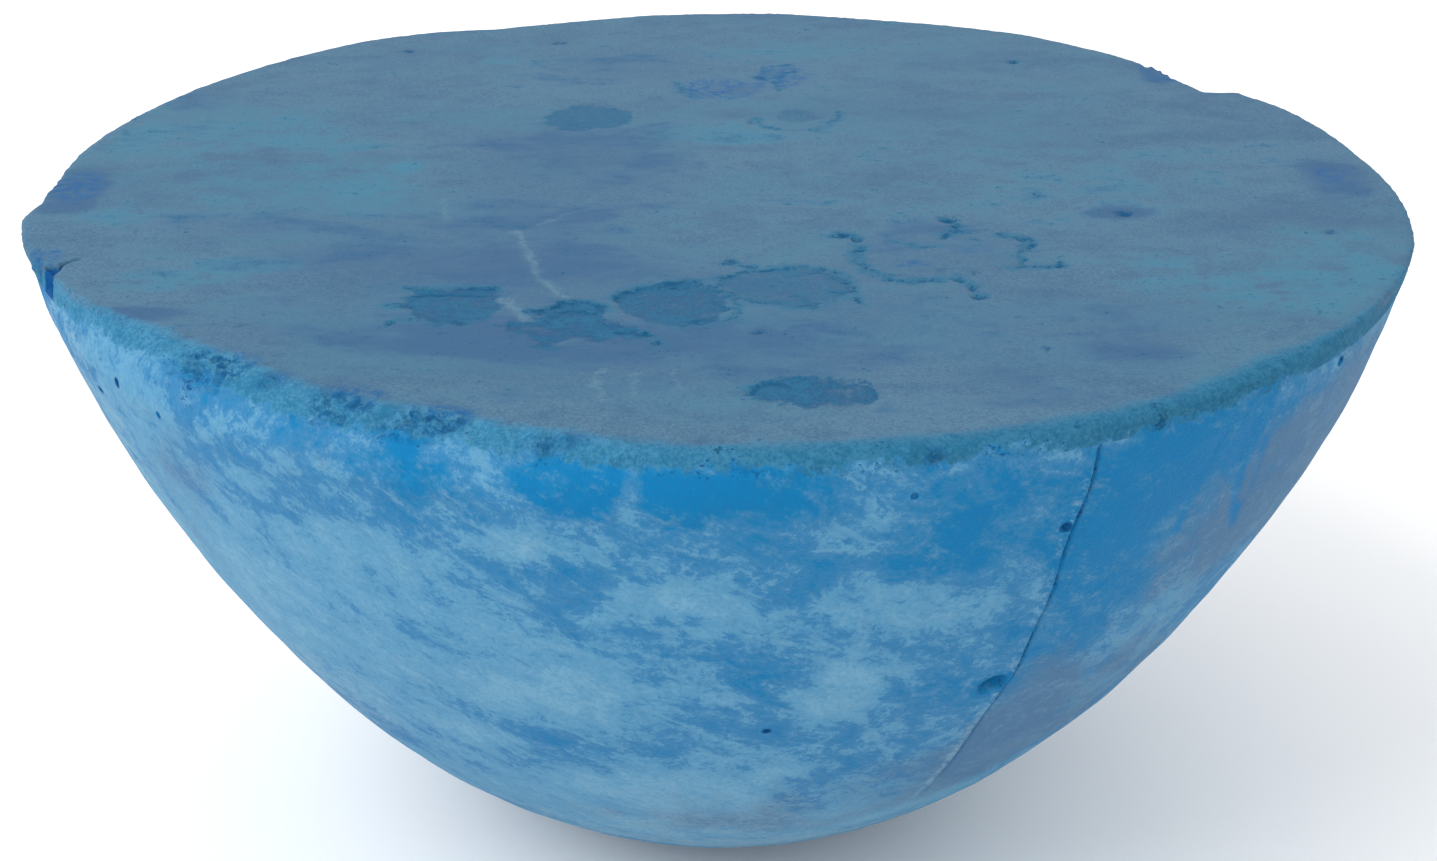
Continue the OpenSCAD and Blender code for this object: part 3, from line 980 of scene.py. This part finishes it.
def face_pigment(red, green, blue):
    """The same for the flat face, which lies square to the light and takes more of its gloss."""
    return pigment(red, green, blue, light=1.36, veil=0.030)


class Shader:
    """Builds one material's nodes. Sizes are in mm."""

    def __init__(self, name):
        self.material = bpy.data.materials.new(name)
        self.material.use_nodes = True
        self.tree = self.material.node_tree
        self.surface = self.tree.nodes["Principled BSDF"]
        self.place = self.node("ShaderNodeTexCoord").outputs["Object"]

    def node(self, kind, **settings):
        made = self.tree.nodes.new(kind)
        for key, value in settings.items():
            setattr(made, key, value)
        return made

    def plug(self, socket, value):
        if isinstance(value, bpy.types.NodeSocket):
            self.tree.links.new(value, socket)
        else:
            socket.default_value = value

    def noise(self, size, detail=4, roughness=0.6, stretch=(1, 1, 1), distortion=0.0, turn=0):
        """Noise with features of a size in mm, stretched along axes turned so many degrees about Y."""
        mapping = self.node("ShaderNodeMapping", vector_type="TEXTURE")
        self.plug(mapping.inputs["Vector"], self.place)
        self.plug(mapping.inputs["Rotation"], (0, math.radians(turn), 0))
        self.plug(mapping.inputs["Scale"], [size * MM * s for s in stretch])
        made = self.node("ShaderNodeTexNoise")
        self.plug(made.inputs["Vector"], mapping.outputs["Vector"])
        self.plug(made.inputs["Scale"], 1)
        self.plug(made.inputs["Detail"], detail)
        self.plug(made.inputs["Roughness"], roughness)
        self.plug(made.inputs["Distortion"], distortion)
        return made.outputs["Fac"]

    def math(self, operation, a, b=0.0):
        made = self.node("ShaderNodeMath", operation=operation)
        self.plug(made.inputs[0], a)
        self.plug(made.inputs[1], b)
        return made.outputs[0]

    def add(self, base, *terms):
        """Base plus each (factor, socket), with noise taken about its middle, 0.5."""
        total = base
        for factor, socket in terms:
            centred = self.math("SUBTRACT", socket, 0.5)
            total = self.math("ADD", self.math("MULTIPLY", centred, factor), total)
        return total

    def step(self, value, low, high):
        """0 below low and 1 above high, with a smooth step between."""
        made = self.node("ShaderNodeMapRange", interpolation_type="SMOOTHSTEP")
        self.plug(made.inputs["Value"], value)
        self.plug(made.inputs["From Min"], low)
        self.plug(made.inputs["From Max"], high)
        return made.outputs["Result"]

    def blend(self, factor, a, b):
        """Colour a, turning into b."""
        made = self.node("ShaderNodeMix", data_type="RGBA")
        self.plug(made.inputs["Factor"], factor)
        self.plug(made.inputs[6], a)
        self.plug(made.inputs[7], b)
        return made.outputs[2]

    def wash(self, colour, mask, share, over):
        """The colour with a share of another laid over it wherever the mask is 1."""
        return self.blend(self.math("MULTIPLY", mask, share), colour, over)

    def mix(self, factor, a, b):
        """Number a, turning into b."""
        made = self.node("ShaderNodeMix", data_type="FLOAT")
        self.plug(made.inputs["Factor"], factor)
        self.plug(made.inputs[2], a)
        self.plug(made.inputs[3], b)
        return made.outputs[0]

    def ramp(self, value, stops):
        made = self.node("ShaderNodeValToRGB")
        self.plug(made.inputs["Fac"], value)
        elements = made.color_ramp.elements
        while len(elements) < len(stops):
            elements.new(1)
        for element, (position, colour) in zip(elements, stops):
            element.position = position
            element.color = colour
        return made.outputs["Color"]

    def painted(self, layer):
        """The four values that paint() stored in a layer."""
        made = self.node("ShaderNodeAttribute", attribute_name=layer)
        split = self.node("ShaderNodeSeparateColor")
        self.plug(split.inputs["Color"], made.outputs["Color"])
        return [split.outputs[k] for k in range(3)] + [made.outputs["Alpha"]]

    def bump(self, height, depth, strength=1.0):
        made = self.node("ShaderNodeBump")
        self.plug(made.inputs["Strength"], strength)
        self.plug(made.inputs["Distance"], depth * MM)
        self.plug(made.inputs["Height"], height)
        return made.outputs["Normal"]

    def finish(self, colour, roughness, normal, **others):
        self.plug(self.surface.inputs["Base Color"], colour)
        self.plug(self.surface.inputs["Roughness"], roughness)
        self.plug(self.surface.inputs["Normal"], normal)
        for key, value in others.items():
            self.plug(self.surface.inputs[key.replace("_", " ")], value)
        return self.material


def stone_look(shader):
    """Colour, roughness and bump height of the cast stone."""
    haze, bloom_and_shade, dark, pale = shader.painted("stone_paint")
    cloud = shader.noise(6.5, 10, 0.66, stretch=(1.4, 1.1, 0.85), distortion=0.8, turn=30)
    brush = shader.noise(2.2, 9, 0.72, stretch=(1.45, 1.2, 0.8), distortion=0.7, turn=30)
    dabs = shader.noise(1.0, 7, 0.72, stretch=(1.2, 1.1, 0.9), distortion=0.5, turn=30)
    fine = shader.noise(0.35, 5, 0.75)
    value = shader.add(haze, (1.3, cloud), (1.35, brush), (0.9, dabs), (0.5, fine))
    colour = shader.ramp(value, [
        (0.00, pigment(16, 124, 181)),
        (0.10, pigment(32, 126, 180)),
        (0.20, pigment(50, 130, 180)),
        (0.36, pigment(65, 134, 182)),
        (0.45, pigment(72, 138, 184)),
        (0.54, pigment(91, 153, 192)),
        (0.64, pigment(99, 160, 196)),
        (0.82, pigment(106, 164, 198)),
        (1.00, pigment(120, 173, 203)),
    ])
    # Purple-grey bloom, whose strong patches on the right side are painted shade
    bloom_and_shade_mask = shader.step(shader.add(bloom_and_shade, (1.3, shader.noise(4.2, 6, 0.65)), (0.8, brush)), 0.30, 1.0)
    colour = shader.wash(colour, bloom_and_shade_mask, 0.72, pigment(92, 123, 154))
    dabbed = shader.step(shader.add(dabs, (0.6, fine)), 0.56, 0.62)
    colour = shader.wash(colour, dabbed, 0.35, pigment(38, 116, 170))
    pitted = shader.step(fine, 0.55, 0.40)
    colour = shader.wash(colour, pitted, 0.18, pigment(50, 116, 166))
    chalk = shader.step(shader.add(fine, (1.0, brush), (0.8, dabs)), 0.50, 0.76)
    chalk = shader.math("MULTIPLY", chalk, shader.step(value, 0.0, 0.4))
    colour = shader.wash(colour, chalk, 0.22, pigment(134, 180, 206))
    # Pale flash and chalk, with painted light near the foot and a painted highlight along each seam's flash
    # ridge
    flash_chalk_and_painted_light = shader.step(shader.add(pale, (1.2, brush), (1.2, dabs), (0.8, fine)), 0.25, 0.80)
    colour = shader.wash(colour, flash_chalk_and_painted_light, 0.65, pigment(136, 177, 200))
    # Dark marks: dark crumbs, and painted shade in the pits and along the seams' grooves
    sunk = shader.step(shader.add(dark, (1.6, fine), (1.4, dabs)), 0.38, 0.66)
    colour = shader.blend(sunk, colour, pigment(14, 86, 142))
    roughness = shader.mix(value, 0.60, 0.80)
    height = shader.add(brush, (0.7, dabs), (0.5, fine), (0.3, shader.noise(0.2, 2, 0.5)))
    return colour, roughness, height


def stone_material():
    shader = Shader("porous_stone")
    colour, roughness, height = stone_look(shader)
    return shader.finish(colour, roughness, shader.bump(height, 0.14), Specular_IOR_Level=0.07,
                         Sheen_Weight=0.07, Sheen_Roughness=0.3, Sheen_Tint=srgb(236, 232, 240))


def face_look(shader):
    """Colour, roughness and bump height of the trowelled grey face and its turquoise band."""
    line, edge, skirt, scratch = shader.painted("face_paint")
    teal, purple, fleck, blue = shader.painted("tint_paint")
    inside, strength, stain, notch = shader.painted("blister_paint")
    streak = shader.noise(9, 6, 0.60, stretch=(2.2, 1, 1), distortion=0.6)
    hue = shader.noise(12, 6, 0.62, stretch=(1.8, 1, 1), distortion=0.8)
    mottle = shader.noise(2.4, 7, 0.70, stretch=(1.4, 1, 1), distortion=0.3)
    crumb = shader.noise(0.9, 6, 0.75)
    fine = shader.noise(0.25, 5, 0.8)
    value = shader.add(0.5, (1.4, streak), (1.5, mottle), (1.0, crumb), (3.6, fine))
    colour = shader.ramp(value, [
        (0.05, face_pigment(74, 109, 142)),
        (0.40, face_pigment(86, 121, 149)),
        (0.60, face_pigment(93, 128, 154)),
        (0.95, face_pigment(107, 141, 163)),
    ])
    green = shader.step(shader.add(hue, (0.3, mottle)), 0.42, 0.66)
    colour = shader.wash(colour, green, 0.45, face_pigment(84, 133, 158))
    teal_mask = shader.step(shader.add(teal, (2.2, mottle), (2.2, streak), (1.0, crumb)), 0.25, 1.0)
    colour = shader.wash(colour, teal_mask, 0.8, face_pigment(80, 137, 163))
    purple_mask = shader.step(shader.add(purple, (2.8, streak), (2.2, mottle), (0.8, fine)), 0.22, 1.0)
    colour = shader.wash(colour, purple_mask, 0.75, face_pigment(70, 104, 143))
    stain_mask = shader.step(shader.add(stain, (3.0, crumb), (2.4, mottle)), 0.30, 1.0)
    colour = shader.wash(colour, stain_mask, 0.6, face_pigment(58, 120, 152))
    skin = shader.step(shader.add(inside, (0.9, mottle), (0.9, crumb)), 0.44, 0.58)
    patchy = shader.step(shader.add(0.72, (2.4, mottle), (1.6, crumb)), 0.0, 0.75)
    skin = shader.math("MULTIPLY", skin, patchy)
    filled = shader.blend(shader.step(shader.add(mottle, (1.4, fine), (1.0, crumb)), 0.36, 0.64),
                          face_pigment(34, 94, 134), face_pigment(60, 116, 150))
    colour = shader.wash(colour, skin, strength, filled)
    crumbs = shader.step(crumb, 0.42, 0.58)
    flecked = shader.math("MULTIPLY", shader.step(fleck, 0.10, 0.7), crumbs)
    worn = shader.step(shader.add(scratch, (1.2, fine), (1.0, crumb)), 0.28, 0.95)
    colour = shader.wash(colour, worn, 0.65, face_pigment(120, 154, 172))

    grit = shader.noise(0.3, 6, 0.8)
    gritty = shader.step(shader.add(grit, (0.5, mottle)), 0.40, 0.60)
    band = shader.blend(gritty, pigment(47, 117, 156), pigment(67, 134, 169))
    blue_band = shader.blend(gritty, pigment(56, 131, 172), pigment(84, 153, 191))
    band = shader.blend(blue, band, blue_band)
    band_mask = shader.step(shader.add(edge, (0.50, mottle), (0.40, crumb)), 0.36, 0.66)
    colour = shader.blend(band_mask, colour, band)
    colour = shader.wash(colour, flecked, 0.75, pigment(8, 93, 150))
    stone_colour, stone_roughness, stone_height = stone_look(shader)
    stone_mask = shader.step(shader.add(skirt, (0.9, mottle), (0.8, crumb)), 0.42, 0.58)
    colour = shader.blend(stone_mask, colour, stone_colour)
    torn = shader.step(shader.add(line, (2.6, crumb), (3.4, fine), (1.4, mottle)), 0.42, 0.64)
    colour = shader.wash(colour, torn, 0.88, pigment(22, 84, 124))

    notched = shader.step(shader.add(notch, (0.6, fine)), 0.42, 0.60)
    colour = shader.blend(notched, colour, pigment(0, 86, 146))

    roughness = shader.mix(band_mask, shader.mix(value, 0.52, 0.66), 0.78)
    roughness = shader.mix(stone_mask, roughness, stone_roughness)
    height = shader.add(mottle, (0.6, crumb), (0.5, fine), (0.4, skin))
    height = shader.mix(band_mask, height, shader.add(grit, (1.0, fine)))
    height = shader.mix(stone_mask, height, stone_height)
    return colour, roughness, height, band_mask


def seal_material():
    shader = Shader("seal_skin")
    colour, roughness, height, band_mask = face_look(shader)
    normal = shader.bump(height, 0.12, shader.mix(band_mask, 0.45, 1.0))
    return shader.finish(colour, roughness, normal, Specular_IOR_Level=0.08)


def resin_material():
    """Cured amber resin, with fine bubbles and clouding."""
    shader = Shader("bond_resin")
    cloud = shader.noise(2.5, 5, 0.6)
    bubble = shader.step(shader.noise(0.5, 2, 0.5), 0.66, 0.74)
    colour = shader.ramp(cloud, [
        (0.3, srgb(150, 118, 62)),
        (0.6, srgb(188, 160, 100)),
        (0.8, srgb(206, 186, 138)),
    ])
    colour = shader.wash(colour, bubble, 0.6, srgb(228, 214, 178))
    return shader.finish(colour, shader.mix(cloud, 0.18, 0.40), shader.bump(cloud, 0.25, 0.5),
                         Coat_Weight=0.3)


def plastic_material(name, dark, light, roughness, texture_size):
    """Moulded plastic with a fine spark-eroded texture and slight scuffing."""
    shader = Shader(name)
    broad = shader.noise(6, 5, 0.6)
    texture = shader.noise(texture_size, 3, 0.6)
    scuff = shader.step(shader.noise(1.2, 6, 0.75, stretch=(0.4, 2.5, 1)), 0.60, 0.78)
    colour = shader.ramp(shader.add(broad, (0.5, texture)), [(0.3, dark), (0.7, light)])
    colour = shader.wash(colour, scuff, 0.25, srgb(128, 130, 132))
    rough = shader.add(roughness, (0.25, broad), (0.2, texture))
    return shader.finish(colour, rough, shader.bump(texture, 0.03, 0.6))


# ---------------------------------------------------------------- pieces

def dress(piece, material, slot, *nodes):
    """Gives a piece its material and its place in the frame, and hides the CAD nodes that it stands in for.
    """
    piece.data.materials.clear()
    piece.data.materials.append(material)
    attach(piece, "root")
    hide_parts(*nodes)


resin = resin_material()
dress(make_stone(), stone_material(), "porous_stone", "stone_dome")
dress(make_seal(), seal_material(), "seal_skin", "face_seal")
dress(make_nipple(), plastic_material("nipple_plastic", srgb(40, 42, 45), srgb(58, 60, 64), 0.42, 0.25),
      "nipple_plastic", "inlet_nipple")
dress(make_nipple_bond(), resin, "bond_resin", "nipple_bond")

lid_plastic = plastic_material("lid_plastic", srgb(206, 206, 198), srgb(226, 226, 220), 0.5, 0.4)
for node, material in (("chamber_lid", lid_plastic), ("lid_bond", resin)):
    for material_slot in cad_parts[node].material_slots:
        material_slot.material = material


# ---------------------------------------------------------------- studio, in metres

def make_floor():
    """Pale floor under the foot, large enough to fill every view."""
    half = 4.0
    corners = [(-half, -half, 0), (half, -half, 0), (half, half, 0), (-half, half, 0)]
    data = bpy.data.meshes.new("floor")
    data.from_pydata(corners, [], [(0, 1, 2, 3)])
    floor = bpy.data.objects.new("floor", data)
    bpy.context.scene.collection.objects.link(floor)
    shader = Shader("floor")
    colour = shader.ramp(shader.noise(60, 3, 0.5), [(0.3, srgb(243, 243, 243)), (0.7, srgb(247, 247, 247))])
    normal = shader.bump(shader.noise(2, 3), 0.01)
    data.materials.append(shader.finish(colour, 0.9, normal, Specular_IOR_Level=0.1))


def make_light(name, place, size, power):
    """Large soft light that faces the middle of the stone."""
    data = bpy.data.lights.new(name, "AREA")
    data.shape = "DISK"
    data.size = size
    data.energy = power
    light = bpy.data.objects.new(name, data)
    light.location = place
    towards = Vector((0, 0, 0.03)) - light.location
    light.rotation_euler = towards.to_track_quat("-Z", "Y").to_euler()
    bpy.context.scene.collection.objects.link(light)


def make_world():
    world = bpy.data.worlds.new("studio")
    world.use_nodes = True
    background = world.node_tree.nodes["Background"]
    background.inputs["Color"].default_value = (1.0, 1.0, 1.0, 1)
    background.inputs["Strength"].default_value = 1.12
    bpy.context.scene.world = world


def make_camera():
    data = bpy.data.cameras.new("camera")
    data.lens = 65.5
    data.clip_start = 0.01
    camera = bpy.data.objects.new("camera", data)
    camera.location = (-0.00025, -0.1835, 0.10926)
    camera.rotation_euler = (math.radians(66.56), 0, 0)
    bpy.context.scene.collection.objects.link(camera)
    bpy.context.scene.camera = camera


make_floor()
make_light("key", (-0.60, -0.40, 0.75), 0.80, 6.4)
make_world()
make_camera()
bpy.context.scene.view_settings.view_transform = "Standard"

bpy.context.view_layer.update()
